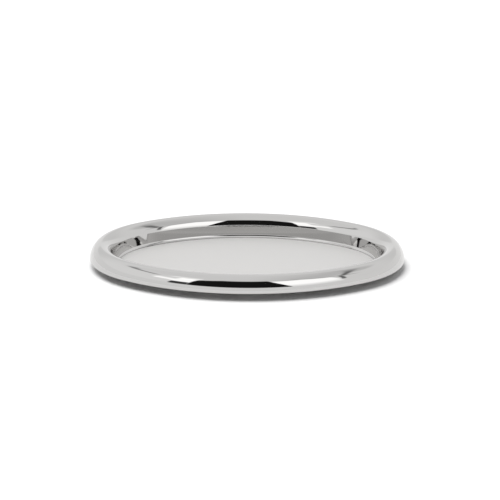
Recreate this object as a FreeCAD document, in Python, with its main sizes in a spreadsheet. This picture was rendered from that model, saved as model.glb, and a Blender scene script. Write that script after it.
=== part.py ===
import FreeCAD, Part
import math
import os

import Sketcher

# Oval serving tray, drawn from one piece of mirror-polished steel sheet.
# Millimetres. +Z is up and +X runs along the long axis. The origin is on the
# table under the middle of the tray, where the flat bottom rests.

SIZES = {
    "trayLength": 400.0,      # over the rim, along X
    "trayWidth": 300.0,       # over the rim, along Y
    "sideBulge": 25.0,        # half the width, less the radius round each end
    "trayHeight": 28.9,       # table to the highest line of the rim
    "sheetGauge": 1.2,        # thickness of the steel
    "crestInset": 14.6,       # outline to the highest line of the rim
    "outerSlack": 2.7,        # that, less the radius over the rim's outer half
    "outerExtra": 4.9,        # outer side's drop to its edge, less its own width
    "crestToWall": 15.5,      # highest line of the rim to the upright inner wall
    "innerSlack": 1.5,        # that, less the radius over the rim's inner half
    "innerExtra": 2.8,        # inner side's drop to the wall, less its own width
    "coveRadius": 4.0,        # hollow corner between the wall and the floor
    "floorBorder": 4.0,       # flat border inside the cove, drawn with the rim
}

COVE_SPLIT = math.pi / 4    # the cove's quarter turn is drawn in two halves

TRAY = "tray"
START, END, CENTRE = range(1, 4)    # places on a sketched curve
X_AXIS, Y_AXIS = range(-1, -3, -1)  # a sketch's own axes
ORIGIN = (X_AXIS, START)


def add_sheet(doc, sizes):
    """The driving dimensions: names in column A, values in column B."""
    sheet = doc.addObject("Spreadsheet::Sheet", "Sizes")
    for row, (name, value) in enumerate(sizes.items(), start=1):
        sheet.set(f"A{row}", name)
        sheet.set(f"B{row}", str(value))
        sheet.setAlias(f"B{row}", name)
    doc.recompute()
    return sheet


def add_sketch(body, name, role):
    """An empty sketch on one of the body's own origin planes."""
    planes = {plane.Role: plane for plane in body.Origin.OriginFeatures}
    sketch = body.newObject("Sketcher::SketchObject", name)
    sketch.AttachmentSupport = [(planes[role], "")]
    sketch.MapMode = "FlatFace"
    return sketch


def point(x, y):
    return FreeCAD.Vector(x, y, 0)


def arc(centre, radius, first, last):
    """A counter-clockwise arc between two angles in radians."""
    circle = Part.Circle(centre, FreeCAD.Vector(0, 0, 1), radius)
    return Part.ArcOfCircle(circle, first, last)


def bind(sketch, name, kind, places, value, rule):
    """Add a driving dimension and tie it to the sheet."""
    index = sketch.addConstraint(Sketcher.Constraint(kind, *places, value))
    sketch.renameConstraint(index, name)
    sketch.setExpression(f"Constraints.{name}", rule)


def draw_oval(sketch, size, inset, inset_rule):
    """The tray's outline, or a line parallel to it further in: an oval of four
    arcs that run smoothly into each other, two for the ends, two for the sides."""
    half_length = size["trayLength"] / 2 - inset
    half_width = size["trayWidth"] / 2 - inset
    end_radius = half_width - size["sideBulge"]
    reach = half_length**2 + half_width**2 - 2 * half_length * end_radius
    side_radius = reach / (2 * size["sideBulge"])
    end_x = half_length - end_radius
    side_y = side_radius - half_width
    turn = math.atan2(side_y, end_x)

    right = sketch.addGeometry(arc(point(end_x, 0), end_radius, -turn, turn), False)
    back = sketch.addGeometry(
        arc(point(0, -side_y), side_radius, turn, math.pi - turn), False
    )
    left = sketch.addGeometry(
        arc(point(-end_x, 0), end_radius, math.pi - turn, math.pi + turn), False
    )
    front = sketch.addGeometry(
        arc(point(0, side_y), side_radius, math.pi + turn, 2 * math.pi - turn), False
    )
    rules = [
        ("Tangent", right, END, back, START),
        ("Coincident", back, END, left, START),
        ("Coincident", left, END, front, START),
        ("Coincident", front, END, right, START),
        ("Symmetric", back, START, back, END, Y_AXIS),
        ("Symmetric", right, START, right, END, X_AXIS),
        ("Symmetric", left, START, left, END, X_AXIS),
        ("Equal", right, left),
        ("Equal", back, front),
    ]
    for rule in rules:
        sketch.addConstraint(Sketcher.Constraint(*rule))

    length_rule = f"(Sizes.trayLength / 2 - ({inset_rule}))"
    width_rule = f"(Sizes.trayWidth / 2 - ({inset_rule}))"
    end_rule = f"({width_rule} - Sizes.sideBulge)"
    reach_rule = f"({length_rule}^2 + {width_rule}^2 - 2 * {length_rule} * {end_rule})"
    bind(sketch, "endRound", "Radius", [right], end_radius, end_rule)
    bind(sketch, "endX", "DistanceX", [*ORIGIN, right, CENTRE], end_x,
         f"{length_rule} - {end_rule}")
    bind(sketch, "sideRound", "Radius", [back], side_radius,
         f"{reach_rule} / (2 * Sizes.sideBulge)")


def half_arch(run, slack, extra):
    """One half of the rim's arch: over the top an arc of radius run - slack, then
    one that ends upright, run sideways and run + extra down. Returns the two radii
    and the turn, from straight up, at which they join."""
    top_radius = run - slack
    foot_radius = run + extra + extra**2 / (2 * slack)
    turn = math.atan2(foot_radius - run, slack + extra)
    return top_radius, foot_radius, turn


def section_frame(size):
    """Centres and radii of the visible side of the section, and the angles at
    which its arcs join."""
    outline = size["trayLength"] / 2
    crest_x = outline - size["crestInset"]
    wall = crest_x - size["crestToWall"]
    foot = size["trayHeight"] - size["crestInset"] - size["outerExtra"]
    wall_top = size["trayHeight"] - size["crestToWall"] - size["innerExtra"]
    crest_radius, side_radius, side_turn = half_arch(
        size["crestInset"], size["outerSlack"], size["outerExtra"]
    )
    brow_radius, inner_radius, inner_turn = half_arch(
        size["crestToWall"], size["innerSlack"], size["innerExtra"]
    )
    cove_radius = size["coveRadius"]
    return {
        "outline": outline,
        "foot": foot,
        "wall": wall,
        "wall_top": wall_top,
        "side": (point(outline - side_radius, foot), side_radius),
        "crest": (point(crest_x, size["trayHeight"] - crest_radius), crest_radius),
        "brow": (point(crest_x, size["trayHeight"] - brow_radius), brow_radius),
        "inner": (point(wall + inner_radius, wall_top), inner_radius),
        "cove": (point(wall - cove_radius, size["sheetGauge"] + cove_radius), cove_radius),
        "side_angle": math.pi / 2 - side_turn,
        "inner_angle": math.pi / 2 + inner_turn,
    }


def draw_skin(sketch, frame, size, depth):
    """One side of the sheet, depth below the visible one: side arc, crest arc,
    brow arc on the other side of the rim's highest line, inner arc, wall, cove in
    two halves and floor border. Returns the number of each."""
    side, side_radius = frame["side"]
    crest, crest_radius = frame["crest"]
    brow, brow_radius = frame["brow"]
    inner, inner_radius = frame["inner"]
    cove, cove_radius = frame["cove"]
    wall = frame["wall"] + depth
    floor = size["sheetGauge"] - depth
    border_end = cove.x - size["floorBorder"]
    pieces = {
        "side": arc(side, side_radius - depth, 0, frame["side_angle"]),
        "crest": arc(crest, crest_radius - depth, frame["side_angle"], math.pi / 2),
        "brow": arc(brow, brow_radius - depth, math.pi / 2, frame["inner_angle"]),
        "inner": arc(inner, inner_radius - depth, frame["inner_angle"], math.pi),
        "wall": Part.LineSegment(point(wall, frame["wall_top"]), point(wall, cove.y)),
        "cove": arc(cove, cove_radius + depth, -COVE_SPLIT, 0),
        "toe": arc(cove, cove_radius + depth, -math.pi / 2, -COVE_SPLIT),
        "floor": Part.LineSegment(point(cove.x, floor), point(border_end, floor)),
    }
    number = {name: sketch.addGeometry(piece, False) for name, piece in pieces.items()}
    joints = [
        ("side", END, "crest", START),
        ("brow", END, "inner", START),
        ("inner", END, "wall", START),
        ("wall", END, "cove", END),
        ("toe", START, "floor", START),
    ]
    for one, one_end, other, other_end in joints:
        rule = Sketcher.Constraint("Tangent", number[one], one_end, number[other], other_end)
        sketch.addConstraint(rule)
    rules = [
        ("Coincident", number["crest"], END, number["brow"], START),
        ("Vertical", number["crest"], END, number["crest"], CENTRE),
        ("Coincident", number["cove"], START, number["toe"], END),
        ("Coincident", number["cove"], CENTRE, number["toe"], CENTRE),
        ("Angle", number["cove"], COVE_SPLIT),
        ("Vertical", number["wall"]),
        ("Horizontal", number["floor"]),
    ]
    for rule in rules:
        sketch.addConstraint(Sketcher.Constraint(*rule))
    return number


def draw_section(sketch, size):
    """The closed section of rim, wall and floor border at the +X end."""
    frame = section_frame(size)
    gauge = size["sheetGauge"]
    top = draw_skin(sketch, frame, size, 0)
    under = draw_skin(sketch, frame, size, gauge)
    for name in ("side", "crest", "brow", "inner", "cove"):
        same_centre = Sketcher.Constraint("Coincident", top[name], CENTRE, under[name], CENTRE)
        sketch.addConstraint(same_centre)

    outer_foot = point(frame["outline"], frame["foot"])
    lip_cut = Part.LineSegment(point(frame["outline"] - gauge, frame["foot"]), outer_foot)
    lip = sketch.addGeometry(lip_cut, False)
    border_end = frame["cove"][0].x - size["floorBorder"]
    cut = Part.LineSegment(point(border_end, gauge), point(border_end, 0))
    inner_edge = sketch.addGeometry(cut, False)
    rules = [
        ("Coincident", lip, END, top["side"], START),
        ("Coincident", lip, START, under["side"], START),
        ("Coincident", top["floor"], END, inner_edge, START),
        ("Coincident", inner_edge, END, under["floor"], END),
        ("Vertical", inner_edge),
        ("Vertical", top["brow"], START, top["brow"], CENTRE),
        ("Horizontal", top["side"], CENTRE, top["side"], START),
        ("Horizontal", lip),
    ]
    for rule in rules:
        sketch.addConstraint(Sketcher.Constraint(*rule))

    crest = top["crest"]
    brow = top["brow"]
    wall_top = [*ORIGIN, top["wall"], START]
    bind(sketch, "outlineX", "DistanceX", [*ORIGIN, top["side"], START],
         frame["outline"], "Sizes.trayLength / 2")
    bind(sketch, "footZ", "DistanceY", [*ORIGIN, top["side"], START],
         frame["foot"], "Sizes.trayHeight - Sizes.crestInset - Sizes.outerExtra")
    bind(sketch, "lipCut", "DistanceX", [lip, START, lip, END], gauge, "Sizes.sheetGauge")
    bind(sketch, "crestX", "DistanceX", [*ORIGIN, crest, END],
         frame["crest"][0].x, "Sizes.trayLength / 2 - Sizes.crestInset")
    bind(sketch, "crestZ", "DistanceY", [*ORIGIN, crest, END],
         size["trayHeight"], "Sizes.trayHeight")
    bind(sketch, "crestRound", "Radius", [crest],
         frame["crest"][1], "Sizes.crestInset - Sizes.outerSlack")
    bind(sketch, "browRound", "Radius", [brow],
         frame["brow"][1], "Sizes.crestToWall - Sizes.innerSlack")
    bind(sketch, "wallX", "DistanceX", wall_top, frame["wall"],
         "Sizes.trayLength / 2 - Sizes.crestInset - Sizes.crestToWall")
    bind(sketch, "wallZ", "DistanceY", wall_top, frame["wall_top"],
         "Sizes.trayHeight - Sizes.crestToWall - Sizes.innerExtra")
    bind(sketch, "coveRound", "Radius", [top["cove"]], size["coveRadius"], "Sizes.coveRadius")
    bind(sketch, "floorZ", "DistanceY", [*ORIGIN, top["floor"], START],
         gauge, "Sizes.sheetGauge")
    bind(sketch, "borderX", "DistanceX", [top["floor"], END, top["floor"], START],
         size["floorBorder"], "Sizes.floorBorder")


def add_tray(doc, size):
    """Rim, wall and border swept round the outline, then the floor."""
    body = doc.addObject("PartDesign::Body", "TrayBody")
    body.Label = TRAY

    outline = add_sketch(body, "Outline", "XY_Plane")
    draw_oval(outline, size, 0, "0")
    section = add_sketch(body, "RimSection", "XZ_Plane")
    draw_section(section, size)
    doc.recompute()

    rim = body.newObject("PartDesign::AdditivePipe", "Rim")
    rim.Profile = section
    rim.Spine = (outline, [f"Edge{number + 1}" for number in range(outline.GeometryCount)])
    rim.Mode = "Standard"
    doc.recompute()

    rim_width = size["crestInset"] + size["crestToWall"]
    floor_inset = rim_width + size["coveRadius"] + size["floorBorder"] / 2
    inset_rule = "Sizes.crestInset + Sizes.crestToWall + Sizes.coveRadius + Sizes.floorBorder / 2"
    disc = add_sketch(body, "FloorOutline", "XY_Plane")
    draw_oval(disc, size, floor_inset, inset_rule)
    floor = body.newObject("PartDesign::Pad", "Floor")
    floor.Profile = disc
    floor.setExpression("Length", "Sizes.sheetGauge")
    floor.Refine = True
    body.Tip = floor
    doc.recompute()
    return body


def check(doc, bodies):
    """Stop if anything failed to build."""
    for item in doc.Objects:
        if "Invalid" in item.State or "Error" in item.State:
            raise RuntimeError(f"{item.Name} failed: {item.State}")
    for body in bodies:
        shape = body.Shape
        if shape.isNull() or not shape.isValid() or len(shape.Solids) != 1:
            raise RuntimeError(f"{body.Label} is not one valid solid")


doc = FreeCAD.newDocument("OvalTray")
add_sheet(doc, SIZES)
bodies = [add_tray(doc, SIZES)]
doc.recompute()
check(doc, bodies)

os.makedirs("parts", exist_ok=True)
for body in bodies:
    body.Shape.exportStep(f"parts/{body.Label}.step")
    box = body.Shape.BoundBox
    print(body.Label, round(box.XLength, 2), round(box.YLength, 2), round(box.ZLength, 2))
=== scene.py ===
import math

import bpy
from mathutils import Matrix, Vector


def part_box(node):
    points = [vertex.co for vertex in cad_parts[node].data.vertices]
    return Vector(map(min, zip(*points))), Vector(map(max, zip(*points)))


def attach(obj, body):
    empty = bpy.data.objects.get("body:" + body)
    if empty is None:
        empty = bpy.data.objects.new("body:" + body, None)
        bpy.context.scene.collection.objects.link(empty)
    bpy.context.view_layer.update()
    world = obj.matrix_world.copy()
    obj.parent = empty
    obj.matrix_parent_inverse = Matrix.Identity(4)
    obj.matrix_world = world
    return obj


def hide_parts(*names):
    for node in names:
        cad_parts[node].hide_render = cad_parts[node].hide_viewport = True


# Oval serving tray in mirror-polished steel with a satin floor, on a pale
# studio table. Metres, in the frame of the CAD model: +Z up, +X along the tray.

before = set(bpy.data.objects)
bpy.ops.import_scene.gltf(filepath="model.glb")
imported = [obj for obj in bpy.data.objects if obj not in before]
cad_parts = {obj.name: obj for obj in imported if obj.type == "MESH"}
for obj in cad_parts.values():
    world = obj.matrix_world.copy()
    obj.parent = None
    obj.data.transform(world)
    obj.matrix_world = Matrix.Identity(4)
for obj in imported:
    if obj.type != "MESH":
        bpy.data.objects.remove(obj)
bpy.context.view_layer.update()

MM = 0.001

# The tray's section, as in the CAD model. Its length, width and height come
# from the CAD node's own box.
LOW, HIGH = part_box("tray")
HALF_LENGTH = HIGH[0]
HALF_WIDTH = HIGH[1]
HEIGHT = HIGH[2]
SIDE_BULGE = 25 * MM
GAUGE = 1.2 * MM
CREST_INSET = 14.6 * MM
OUTER_SLACK = 2.7 * MM
OUTER_EXTRA = 4.9 * MM
CREST_TO_WALL = 15.5 * MM
INNER_SLACK = 1.5 * MM
INNER_EXTRA = 2.8 * MM
COVE_RADIUS = 4 * MM
SIDE_DRAFT = math.radians(9.5)  # the well's wall leans back this far
END_DRAFT = math.radians(12)    # and a little more round the tight ends
DRAFT_CHANGE = (0.57, 0.64)     # where it changes, as the column's |cos|
KNEE_TILT = math.radians(18)    # where the arch turns into the wall
KNEE_RADIUS = 2.5 * MM
EDGE_ROUND = 0.35 * MM          # both corners of the lip
FLOOR_STEP = 0.3 * MM           # from the cove to the edge of the flat floor

# Fineness of the mesh. The cove and the knee have fixed counts, because their
# turn changes with the draft and every column needs the same rows.
COLUMN_PITCH = 2.0 * MM
ROW_TURN = math.radians(4.5)
LEAST_STEPS = 3
COVE_STEPS = 18
KNEE_STEPS = 3

# Materials. Colours are linear. Noise scales are per metre.
STEEL = (0.57, 0.566, 0.561)
STEEL_WARM = (0.58, 0.572, 0.563)
SATIN = (0.675, 0.669, 0.662)
SATIN_WARM = (0.685, 0.676, 0.665)
TABLE = (0.99, 0.99, 0.99)
TABLE_IN_STEEL = (0.90, 0.90, 0.90)
POLISHED = dict(metallic=1, roughness=0.025, roughness_change=0.02,
                bump=0.03, bump_scale=60, stretch=(1, 1, 1))
BRUSHED = dict(metallic=0.40, roughness=0.60, roughness_change=0.06,
               bump=0.10, bump_scale=900, stretch=(1, 14, 1))
TINT_SCALE = 9
MARK_SCALE = 260
MARK_DETAIL = 4
MARK_RANGE = (0.3, 0.7)
RELIEF_DEPTH = 0.02 * MM
NOISE_DETAIL = 3

# Camera: measured from the photograph's outline, 500 x 500.
IMAGE_SIZE = 500
VIEW_ELEVATION = math.radians(17.0)
VIEW_AZIMUTH = math.radians(1.9)
VIEW_DISTANCE = 2.544
AIM_HEIGHT = 17.2 * MM
LENS = 144
SENSOR = 36
AIM_PIXEL = (247.0, 251.4)      # where the photograph shows the aimed-at point
MIRROR_BOUNCES = 8              # the ends of the well mirror one another often

# Table under the tray, and the lamp.
TABLE_SIZE = 12
TABLE_DROP = 0.05 * MM
KEY_LEVEL = 0.70
KEY_FROM = (-0.28, 0.14, 1)
KEY_SPREAD = math.radians(50)

# The studio round the tray. A direction is a bearing, in degrees to the right of
# the camera's side, and a rise, in degrees above the horizon. An edge is (place,
# softness), and a span is two edges, both in degrees.
ROOM_LIGHT = 1.03
DIFFUSE_SHARE = 0.58            # how much of the room's light matt surfaces get
CEILING = (40, 60)              # the rises over which the walls become ceiling
OVERHEAD_CHANGE = -0.07         # of the ceiling against the walls
SIDE_CHANGE = (-0.05, -0.24)    # towards the right, of the walls and the ceiling
END_CHANGE = -0.22              # of the ceiling towards both ends of the tray
BACK_LIGHT = 0.86               # the wall behind the tray
BACK_SIDE = (135, 50)
BACK_TOP = (35, 30)

TABLE_LIGHT = 1.00              # the pale table on the camera's side
TABLE_RISE = 17.5
TABLE_SOFT = 2

SHADE_LIGHT = 0.77              # a dim stretch of ceiling over the panel
SHADE_ACROSS = ((42, 20), (130, 30))
SHADE_UP = ((47, 8), (66, 10))

PANEL_LIGHT = 1.72              # the bright panel on the right of the gap
PANEL_FOOT_LIGHT = 1.20
PANEL_FADE = (18, 32)           # the rises over which it gains its light
PANEL_RIGHT = (60, 3)
PANEL_TOP = 51
PANEL_TOP_SOFT = 4
PANEL_TOP_FALL = (42, 0.45)     # past this bearing its top falls at this slope
EDGE_LIGHT = 0.62               # a dim line over the panel's top
EDGE_HEIGHT = 3
EDGE_HALF = (1.6, 2.5)
EDGE_ACROSS = ((30, 20), (78, 8))

LEFT_PANELS = (                 # left of the gap: left bearing, rises, light
    (-50, 31, 53.5, 1.8),
    (-62, 50, 57, 1.35),
    (-64, 34, 42, 1.65),
)
LEFT_PANEL_SOFT = (4, 3, 6)     # left, lower and upper edge

GAP_LIGHT = 0.012               # the dark room behind the camera
GAP_LEFT = -36
GAP_RIGHT = 27.5
GAP_RIGHT_LEAN = 0.30
GAP_TOP = 55
GAP_CORNER = (-20, 0.45)        # left of this bearing its top falls at this slope
GAP_SOFT = (1.5, 1, 4)          # left, right and upper edge

STAND_LIGHT = 0.07              # a dark stand low on the gap's left
STAND_LEFT = (-48, 1.5)
STAND_RIGHT = (GAP_LEFT, 1.5)
STAND_TOP = (30, 3)

STREAK_LIGHT = 0.40             # a soft grey line, high on the left
STREAK_START = (-122, 53)       # bearing and rise of its left end
STREAK_SLOPE = -0.11
STREAK_HALF = (2.2, 3)
STREAK_ACROSS = ((STREAK_START[0], 20), (-70, 14))

SEAM_LIGHT = 0.20               # the dark seam at the panel's right, first upright
SEAM_BEARING = 55
SEAM_LEAN = 0.28
SEAM_HALF = (1.6, 1.5)
SEAM_UP = ((26, 5), (43, 4))
BOW_CREST = (115, 58)           # then bowed up to this bearing and rise
BOW_FALL = 0.0078
BOW_HALF = (2.4, 4)
BOW_LEFT = (69, 6)
BOW_FADE = (75, 165)


def oval_columns():
    """Centre, outer radius and outward angle of each column round the outline."""
    end_radius = HALF_WIDTH - SIDE_BULGE
    reach = HALF_LENGTH**2 + HALF_WIDTH**2 - 2 * HALF_LENGTH * end_radius
    side_radius = reach / (2 * SIDE_BULGE)
    end_x = HALF_LENGTH - end_radius
    side_y = side_radius - HALF_WIDTH
    turn = math.atan2(side_y, end_x)
    runs = [
        ((end_x, 0), end_radius, -turn, turn),
        ((0, -side_y), side_radius, turn, math.pi - turn),
        ((-end_x, 0), end_radius, math.pi - turn, math.pi + turn),
        ((0, side_y), side_radius, math.pi + turn, 2 * math.pi - turn),
    ]
    columns = []
    for centre, radius, first, last in runs:
        count = round(radius * (last - first) / COLUMN_PITCH / 2) * 2
        for step in range(count):
            angle = first + (last - first) * step / count
            columns.append((centre, radius, angle))
    return columns


def arc_rows(centre, radius, first, last, hollow=False, count=None):
    """Points along an arc of the section, each with its outward normal.
    A point is (inset from the outline, height); angle 0 points outward."""
    count = count or max(LEAST_STEPS, math.ceil(abs(last - first) / ROW_TURN))
    side = -1 if hollow else 1
    rows = []
    for step in range(count + 1):
        angle = first + (last - first) * step / count
        out, up = math.cos(angle), math.sin(angle)
        place = (centre[0] - radius * out, centre[1] + radius * up)
        rows.append((*place, side * out, side * up))
    return rows


def half_arch(run, slack, extra):
    """One half of the rim's arch: an arc over the top and one that ends upright.
    Returns their radii and the turn, from straight up, at which they join."""
    top_radius = run - slack
    foot_radius = run + extra + extra**2 / (2 * slack)
    turn = math.atan2(foot_radius - run, slack + extra)
    return top_radius, foot_radius, turn


def wall_draft(angle):
    """The wall's lean at a column of the oval."""
    first, last = DRAFT_CHANGE
    share = min(max((abs(math.cos(angle)) - first) / (last - first), 0), 1)
    return SIDE_DRAFT + (END_DRAFT - SIDE_DRAFT) * share**2 * (3 - 2 * share)


def section_rows(draft):
    """The whole closed section, from the floor's edge over the rim to the lip
    and back underneath to the floor. Returns rows of (inset, height, out, up)."""
    crest_radius, side_radius, side_turn = half_arch(
        CREST_INSET, OUTER_SLACK, OUTER_EXTRA)
    brow_radius, inner_radius, inner_turn = half_arch(
        CREST_TO_WALL, INNER_SLACK, INNER_EXTRA)
    upright = math.pi / 2
    wall = CREST_INSET + CREST_TO_WALL
    lip_height = HEIGHT - CREST_INSET - OUTER_EXTRA
    side = (side_radius, lip_height)
    crest = (CREST_INSET, HEIGHT - crest_radius)
    brow = (CREST_INSET, HEIGHT - brow_radius)
    inner = (wall - inner_radius, HEIGHT - CREST_TO_WALL - INNER_EXTRA)
    knee_turn = math.pi - KNEE_TILT
    tighter = inner_radius - KNEE_RADIUS
    knee = (
        inner[0] + tighter * math.cos(KNEE_TILT),
        inner[1] + tighter * math.sin(KNEE_TILT),
    )
    cove_height = GAUGE + COVE_RADIUS
    reach = KNEE_RADIUS + COVE_RADIUS
    drop = knee[1] + reach * math.sin(draft) - cove_height
    cove = (knee[0] + reach * math.cos(draft) + drop * math.tan(draft), cove_height)
    floor_edge = cove[0] + FLOOR_STEP

    def skin(depth):
        """One side of the sheet, from floor to lip, depth below the top side."""
        rows = [(floor_edge, GAUGE - depth, 0, 1)]
        rows += arc_rows(cove, COVE_RADIUS + depth, -upright, -draft, True, COVE_STEPS)
        rows += arc_rows(
            knee, KNEE_RADIUS - depth, math.pi - draft, knee_turn, count=KNEE_STEPS)
        rows += arc_rows(inner, inner_radius - depth, knee_turn, upright + inner_turn)[1:]
        rows += arc_rows(brow, brow_radius - depth, upright + inner_turn, upright)[1:]
        rows += arc_rows(crest, crest_radius - depth, upright, upright - side_turn)[1:]
        rows += arc_rows(side, side_radius - depth, upright - side_turn, 0)[1:]
        return rows

    top = skin(0)
    under = [(inset, height, -out, -up) for inset, height, out, up in skin(GAUGE)]
    outer_round = (EDGE_ROUND, lip_height + EDGE_ROUND)
    inner_round = (GAUGE - EDGE_ROUND, lip_height + EDGE_ROUND)
    lip = arc_rows(outer_round, EDGE_ROUND, 0, -upright)
    lip += arc_rows(inner_round, EDGE_ROUND, -upright, -math.pi)
    return top[:-1] + lip + under[-2::-1]


def build_tray():
    """The tray as one closed sheet, with its true surface normals."""
    columns = oval_columns()
    points = []
    normals = []
    for (centre_x, centre_y), radius, angle in columns:
        away_x, away_y = math.cos(angle), math.sin(angle)
        rows = section_rows(wall_draft(angle))
        for inset, height, out, up in rows:
            run = radius - inset
            points.append((centre_x + run * away_x, centre_y + run * away_y, height))
            normals.append((out * away_x, out * away_y, up))

    count = len(rows)
    faces = []
    for column in range(len(columns)):
        near = column * count
        far = (column + 1) % len(columns) * count
        for row in range(count - 1):
            faces.append((near + row, near + row + 1, far + row + 1, far + row))
    starts = [column * count for column in range(len(columns))]
    top_floor = len(faces)
    faces.append(tuple(starts))
    faces.append(tuple(start + count - 1 for start in reversed(starts)))

    mesh = bpy.data.meshes.new("tray_sheet")
    mesh.from_pydata(points, [], faces)
    mesh.polygons.foreach_set("use_smooth", [True] * len(faces))
    mesh.update()
    mesh.normals_split_custom_set_from_vertices(normals)
    tray = bpy.data.objects.new("tray_sheet", mesh)
    bpy.context.scene.collection.objects.link(tray)
    return tray, top_floor


class Nodes:
    """Short calls for making and joining shader nodes."""

    def __init__(self, tree):
        tree.nodes.clear()
        self.tree = tree

    def add(self, kind, **settings):
        node = self.tree.nodes.new(kind)
        for name, value in settings.items():
            setattr(node, name, value)
        return node

    def join(self, source, target):
        self.tree.links.new(source, target)

    def math(self, operation, *values):
        node = self.add("ShaderNodeMath", operation=operation)
        for socket, value in zip(node.inputs, values):
            if isinstance(value, (int, float)):
                socket.default_value = value
            else:
                self.join(value, socket)
        return node.outputs[0]

    def plus(self, first, second):
        return self.math("ADD", first, second)

    def minus(self, first, second):
        return self.math("SUBTRACT", first, second)

    def times(self, first, second):
        return self.math("MULTIPLY", first, second)

    def size(self, value):
        return self.math("ABSOLUTE", value)

    def blend(self, factor, first, second):
        """One colour turning into another as factor goes from 0 to 1."""
        node = self.add("ShaderNodeMix", data_type="RGBA")
        sockets = {socket.identifier: socket for socket in node.inputs}
        sockets["A_Color"].default_value = (*first, 1)
        sockets["B_Color"].default_value = (*second, 1)
        self.join(factor, sockets["Factor_Float"])
        results = {socket.identifier: socket for socket in node.outputs}
        return results["Result_Color"]

    def ramp(self, value, low, high, start=0.0, end=1.0):
        """Smooth change from start to end as value goes from low to high."""
        node = self.add("ShaderNodeMapRange", interpolation_type="SMOOTHSTEP")
        self.join(value, node.inputs["Value"])
        node.inputs["From Min"].default_value = low
        node.inputs["From Max"].default_value = high
        node.inputs["To Min"].default_value = start
        node.inputs["To Max"].default_value = end
        return node.outputs["Result"]


def noise(nodes, scale, stretch=(1, 1, 1), detail=NOISE_DETAIL):
    """Noise in the object's own metres, finer along the larger stretch."""
    place = nodes.add("ShaderNodeTexCoord")
    mapping = nodes.add("ShaderNodeMapping")
    mapping.inputs["Scale"].default_value = stretch
    texture = nodes.add("ShaderNodeTexNoise")
    texture.inputs["Scale"].default_value = scale
    texture.inputs["Detail"].default_value = detail
    nodes.join(place.outputs["Object"], mapping.inputs["Vector"])
    nodes.join(mapping.outputs["Vector"], texture.inputs["Vector"])
    return texture.outputs["Fac"]


def steel(name, tones, metallic, roughness, roughness_change, bump, bump_scale, stretch):
    """Stainless steel: slight colour drift, fine polishing marks, soft waviness."""
    material = bpy.data.materials.new(name)
    material.use_nodes = True
    nodes = Nodes(material.node_tree)
    shader = nodes.add("ShaderNodeBsdfPrincipled")
    shader.inputs["Metallic"].default_value = metallic
    output = nodes.add("ShaderNodeOutputMaterial")
    nodes.join(shader.outputs["BSDF"], output.inputs["Surface"])

    tint = nodes.blend(noise(nodes, TINT_SCALE), *tones)
    nodes.join(tint, shader.inputs["Base Color"])

    marks = noise(nodes, MARK_SCALE, stretch, detail=MARK_DETAIL)
    rough = nodes.ramp(marks, *MARK_RANGE, roughness, roughness + roughness_change)
    nodes.join(rough, shader.inputs["Roughness"])
    relief = nodes.add("ShaderNodeBump")
    relief.inputs["Strength"].default_value = bump
    relief.inputs["Distance"].default_value = RELIEF_DEPTH
    nodes.join(noise(nodes, bump_scale, stretch), relief.inputs["Height"])
    nodes.join(relief.outputs["Normal"], shader.inputs["Normal"])
    return material


def table_material():
    """Pale matte table, a little darker where the steel mirrors it."""
    material = bpy.data.materials.new("studio_table")
    material.use_nodes = True
    nodes = Nodes(material.node_tree)
    matte = nodes.add("ShaderNodeBsdfDiffuse")
    path = nodes.add("ShaderNodeLightPath")
    tone = nodes.blend(path.outputs["Is Glossy Ray"], TABLE, TABLE_IN_STEEL)
    nodes.join(tone, matte.inputs["Color"])
    output = nodes.add("ShaderNodeOutputMaterial")
    nodes.join(matte.outputs["BSDF"], output.inputs["Surface"])
    return material


def build_table():
    """One wide level plane under the tray."""
    half = TABLE_SIZE / 2
    corners = [(-half, -half, 0), (half, -half, 0), (half, half, 0), (-half, half, 0)]
    mesh = bpy.data.meshes.new("studio_table")
    mesh.from_pydata(corners, [], [(0, 1, 2, 3)])
    table = bpy.data.objects.new("studio_table", mesh)
    table.location.z = -TABLE_DROP
    mesh.materials.append(table_material())
    bpy.context.scene.collection.objects.link(table)


class Studio(Nodes):
    """Light and dark shapes laid over one another by bearing and rise."""

    def __init__(self, tree):
        super().__init__(tree)
        place = self.add("ShaderNodeTexCoord")
        axes = self.add("ShaderNodeSeparateXYZ")
        self.join(place.outputs["Generated"], axes.inputs["Vector"])
        across, back, up = axes.outputs["X"], axes.outputs["Y"], axes.outputs["Z"]
        degree = 180 / math.pi
        turn = self.math("ARCTAN2", across, self.times(back, -1))
        self.bearing = self.times(turn, degree)
        self.rise = self.times(self.math("ARCSINE", up), degree)
        overhead = self.times(self.ramp(self.rise, *CEILING), OVERHEAD_CHANGE)
        side = self.times(across, self.ramp(self.rise, *CEILING, *SIDE_CHANGE))
        dimming = self.ramp(self.rise, *CEILING, 0, END_CHANGE)
        ends = self.times(self.size(across), dimming)
        change = self.plus(self.plus(overhead, ends), side)
        self.light = self.plus(change, ROOM_LIGHT)

    def over(self, value, place, soft):
        """1 where value is above an edge, 0 below it."""
        return self.ramp(self.minus(value, place), -soft / 2, soft / 2)

    def under(self, value, place, soft):
        """1 where value is below an edge, 0 above it."""
        return self.ramp(self.minus(place, value), -soft / 2, soft / 2)

    def both(self, *masks):
        """Where all the masks meet."""
        mask = masks[0]
        for other in masks[1:]:
            mask = self.times(mask, other)
        return mask

    def within(self, value, low, high):
        """1 between two edges."""
        return self.both(self.over(value, *low), self.under(value, *high))

    def lay(self, mask, level):
        """Put a shape of one brightness over what is there."""
        change = self.minus(level, self.light)
        self.light = self.plus(self.light, self.times(change, mask))


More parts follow.
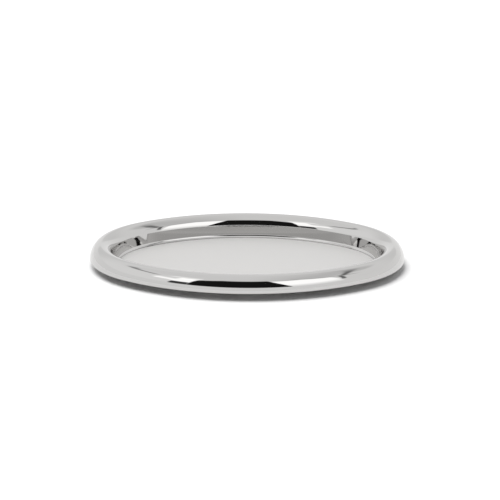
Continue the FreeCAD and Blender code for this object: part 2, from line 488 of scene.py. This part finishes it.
def add_room(studio):
    """The wall behind the tray, the table's mirror image and the dim ceiling."""
    behind = studio.both(
        studio.over(studio.size(studio.bearing), *BACK_SIDE),
        studio.under(studio.rise, *BACK_TOP),
    )
    studio.lay(behind, BACK_LIGHT)
    studio.lay(studio.under(studio.rise, TABLE_RISE, TABLE_SOFT), TABLE_LIGHT)
    shade = studio.both(
        studio.within(studio.bearing, *SHADE_ACROSS),
        studio.within(studio.rise, *SHADE_UP),
    )
    studio.lay(shade, SHADE_LIGHT)


def add_panels(studio, above_table, gap_right):
    """The bright panel, the dim line over it, and the smaller panels on the left."""
    bearing, rise = studio.bearing, studio.rise
    gap_soft = GAP_SOFT[1]
    corner, slope = PANEL_TOP_FALL
    past = studio.math("MAXIMUM", studio.minus(bearing, corner), 0)
    top = studio.minus(PANEL_TOP, studio.times(past, slope))
    panel = studio.both(
        above_table,
        studio.over(bearing, gap_right, gap_soft),
        studio.under(bearing, *PANEL_RIGHT),
        studio.under(rise, top, PANEL_TOP_SOFT),
    )
    studio.lay(panel, studio.ramp(rise, *PANEL_FADE, PANEL_FOOT_LIGHT, PANEL_LIGHT))
    off = studio.size(studio.minus(rise, studio.plus(top, EDGE_HEIGHT)))
    edge = studio.both(
        studio.under(off, *EDGE_HALF), studio.within(bearing, *EDGE_ACROSS)
    )
    studio.lay(edge, EDGE_LIGHT)

    side_soft, low_soft, high_soft = LEFT_PANEL_SOFT
    for left, low, high, level in LEFT_PANELS:
        patch = studio.both(
            studio.within(bearing, (left, side_soft), (GAP_LEFT, gap_soft)),
            studio.within(rise, (low, low_soft), (high, high_soft)),
        )
        studio.lay(patch, level)


def add_gap(studio, above_table, gap_right):
    """The dark room behind the camera, and the stand on its left."""
    bearing, rise = studio.bearing, studio.rise
    left_soft, right_soft, top_soft = GAP_SOFT
    corner, slope = GAP_CORNER
    past = studio.math("MAXIMUM", studio.minus(corner, bearing), 0)
    top = studio.minus(GAP_TOP, studio.times(past, slope))
    gap = studio.both(
        above_table,
        studio.within(bearing, (GAP_LEFT, left_soft), (gap_right, right_soft)),
        studio.under(rise, top, top_soft),
    )
    studio.lay(gap, GAP_LIGHT)
    stand = studio.both(
        above_table,
        studio.within(bearing, STAND_LEFT, STAND_RIGHT),
        studio.under(rise, *STAND_TOP),
    )
    studio.lay(stand, STAND_LIGHT)


def add_lines(studio):
    """The grey streak on the left, and the dark seam on the right with its bow."""
    bearing, rise = studio.bearing, studio.rise
    start, height = STREAK_START
    along = studio.times(studio.minus(bearing, start), STREAK_SLOPE)
    off = studio.size(studio.minus(rise, studio.plus(along, height)))
    streak = studio.both(
        studio.under(off, *STREAK_HALF), studio.within(bearing, *STREAK_ACROSS)
    )
    studio.lay(streak, STREAK_LIGHT)

    leaning = studio.plus(studio.times(rise, SEAM_LEAN), SEAM_BEARING)
    off = studio.size(studio.minus(bearing, leaning))
    seam = studio.both(studio.under(off, *SEAM_HALF), studio.within(rise, *SEAM_UP))
    studio.lay(seam, SEAM_LIGHT)

    crest_bearing, crest_rise = BOW_CREST
    run = studio.math("MINIMUM", studio.minus(bearing, crest_bearing), 0)
    fall = studio.times(studio.times(run, run), BOW_FALL)
    off = studio.size(studio.minus(rise, studio.minus(crest_rise, fall)))
    bow = studio.both(
        studio.under(off, *BOW_HALF),
        studio.over(bearing, *BOW_LEFT),
        studio.ramp(bearing, *BOW_FADE, 1, 0),
    )
    studio.lay(bow, SEAM_LIGHT)


def build_world():
    """The studio as a world shader, which the camera itself sees as plain white."""
    world = bpy.data.worlds.new("studio")
    world.use_nodes = True
    world.cycles.sampling_method = "NONE"
    bpy.context.scene.world = world
    studio = Studio(world.node_tree)
    above_table = studio.over(studio.rise, TABLE_RISE, TABLE_SOFT)
    lean = studio.times(studio.minus(studio.rise, TABLE_RISE), GAP_RIGHT_LEAN)
    gap_right = studio.minus(GAP_RIGHT, lean)
    add_room(studio)
    add_panels(studio, above_table, gap_right)
    add_gap(studio, above_table, gap_right)
    add_lines(studio)

    path = studio.add("ShaderNodeLightPath")
    dimmed = studio.times(path.outputs["Is Diffuse Ray"], 1 - DIFFUSE_SHARE)
    light = studio.times(studio.light, studio.minus(1, dimmed))
    light = studio.math("MAXIMUM", light, path.outputs["Is Camera Ray"])
    background = studio.add("ShaderNodeBackground")
    background.inputs["Color"].default_value = (1, 1, 1, 1)
    studio.join(light, background.inputs["Strength"])
    output = studio.add("ShaderNodeOutputWorld")
    studio.join(background.outputs["Background"], output.inputs["Surface"])


def build_key():
    """A broad soft light from above, behind and to the left, which throws the
    shadow to the front and the right."""
    lamp = bpy.data.lights.new("key", "SUN")
    lamp.energy = KEY_LEVEL * math.pi
    lamp.angle = KEY_SPREAD
    key = bpy.data.objects.new("key", lamp)
    bpy.context.scene.collection.objects.link(key)
    key.rotation_euler = Vector(KEY_FROM).to_track_quat("Z", "Y").to_euler()
    key.visible_glossy = False


def build_camera():
    """The photograph's view."""
    level = math.cos(VIEW_ELEVATION)
    back = Vector((
        math.sin(VIEW_AZIMUTH) * level,
        -math.cos(VIEW_AZIMUTH) * level,
        math.sin(VIEW_ELEVATION),
    ))
    lens = bpy.data.cameras.new("photo_view")
    lens.sensor_width = SENSOR
    lens.lens = LENS
    lens.shift_x = (IMAGE_SIZE / 2 - AIM_PIXEL[0]) / IMAGE_SIZE
    lens.shift_y = (AIM_PIXEL[1] - IMAGE_SIZE / 2) / IMAGE_SIZE
    camera = bpy.data.objects.new("photo_view", lens)
    bpy.context.scene.collection.objects.link(camera)
    camera.location = Vector((0, 0, AIM_HEIGHT)) + back * VIEW_DISTANCE
    camera.rotation_euler = back.to_track_quat("Z", "Y").to_euler()
    bpy.context.scene.camera = camera


tray, top_floor = build_tray()
tray.data.materials.append(steel("polished_steel", (STEEL, STEEL_WARM), **POLISHED))
tray.data.materials.append(steel("satin_steel", (SATIN, SATIN_WARM), **BRUSHED))
tray.data.polygons[top_floor].material_index = 1
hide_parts("tray")
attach(tray, "root")

build_table()
build_world()
build_key()
build_camera()
bpy.context.scene.cycles.glossy_bounces = MIRROR_BOUNCES
bpy.context.scene.view_settings.view_transform = "Standard"
